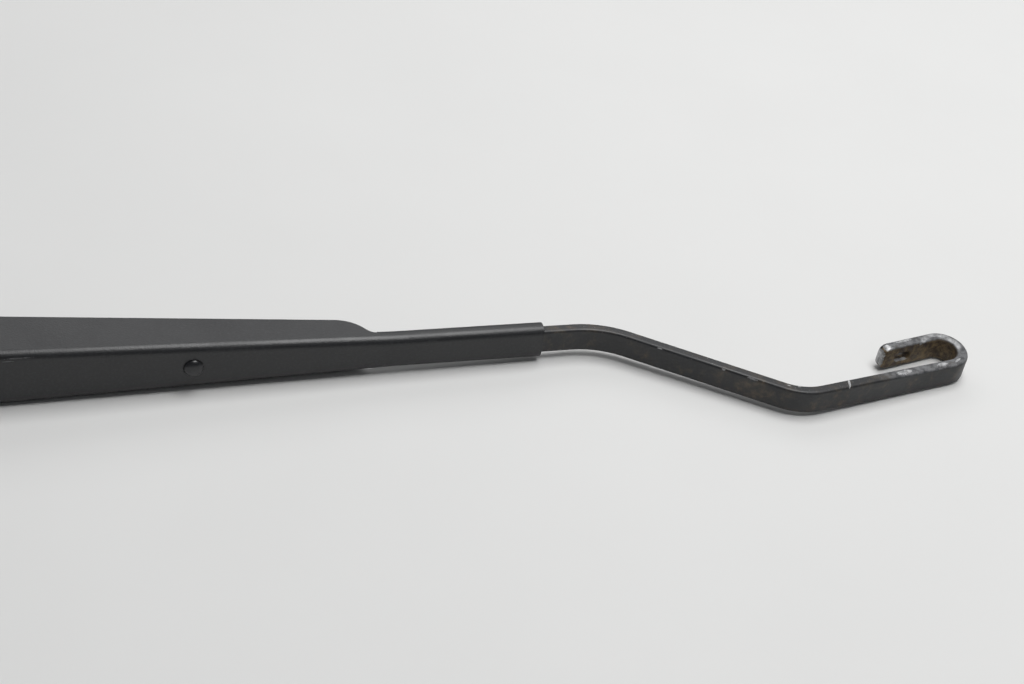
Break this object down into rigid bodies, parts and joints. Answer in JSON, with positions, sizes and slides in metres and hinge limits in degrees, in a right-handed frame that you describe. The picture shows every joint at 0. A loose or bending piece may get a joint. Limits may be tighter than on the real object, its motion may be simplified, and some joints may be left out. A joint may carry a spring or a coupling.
{
  "type": "wiper arm",
  "caption": "Windscreen wiper arm: folded steel channel sprung on a hinge head, with a flat bent bar ending in a U-hook for the blade and a spindle seat.",
  "frame": {"origin": "on the spindle axis, at the face that the spindle nut bears on", "axes": "+X along the arm from the spindle to the hook, +Y towards the glass along the spindle axis, +Z across the arm, up as it lies on its side"},
  "size_m": [0.459, 0.0666, 0.0246],
  "materials": {
    "cast_paint": "satin black paint on a die casting",
    "bush": "natural acetal",
    "pin_steel": "plain ground steel",
    "cap": "black moulded plastic",
    "link_steel": "zinc-plated strip",
    "spring_steel": "oiled spring wire",
    "pin_paint": "satin black paint",
    "channel_paint": "satin black paint on folded sheet",
    "bar_paint": "satin black paint, worn and chipped to bare steel at the hook",
    "rivet_paint": "satin black paint"
  },
  "bodies": {
    "head": {"arm_head": "cast_paint", "hinge_bush_upper": "bush", "hinge_bush_lower": "bush", "anchor_pin": "pin_steel"},
    "cap": {"nut_cap": "cap"},
    "link": {"spring_link": "link_steel"},
    "spring": {"tension_spring": "spring_steel"},
    "arm": {"hinge_pin": "pin_paint", "channel": "channel_paint", "arm_bar": "bar_paint", "bar_rivet": "rivet_paint"}
  },
  "joints": [
    {"name": "lift", "type": "hinge", "parent": "head", "child": "arm", "pos_m": [0.05, -0.0015, 0], "axis": [0, 0, -1], "range_deg": [0, 80]},
    {"name": "link_swing", "type": "hinge", "parent": "head", "child": "link", "pos_m": [0.04736, 0.00444, 0], "axis": [0, 0, -1], "range_deg": [0, 77]},
    {"name": "spring_swing", "type": "hinge", "parent": "arm", "child": "spring", "pos_m": [0.15989, -0.0024, 0], "axis": [0, 0, -1], "range_deg": [-4, 0]},
    {"name": "cap_flip", "type": "hinge", "parent": "head", "child": "cap", "pos_m": [0.035, -0.006, 0], "axis": [0, 0, 1], "range_deg": [0, 85]}
  ],
  "couplings": [
    {"joint": "link_swing", "follows": "lift", "ratio": 0.95239},
    {"joint": "spring_swing", "follows": "lift", "ratio": -0.04761}
  ]
}
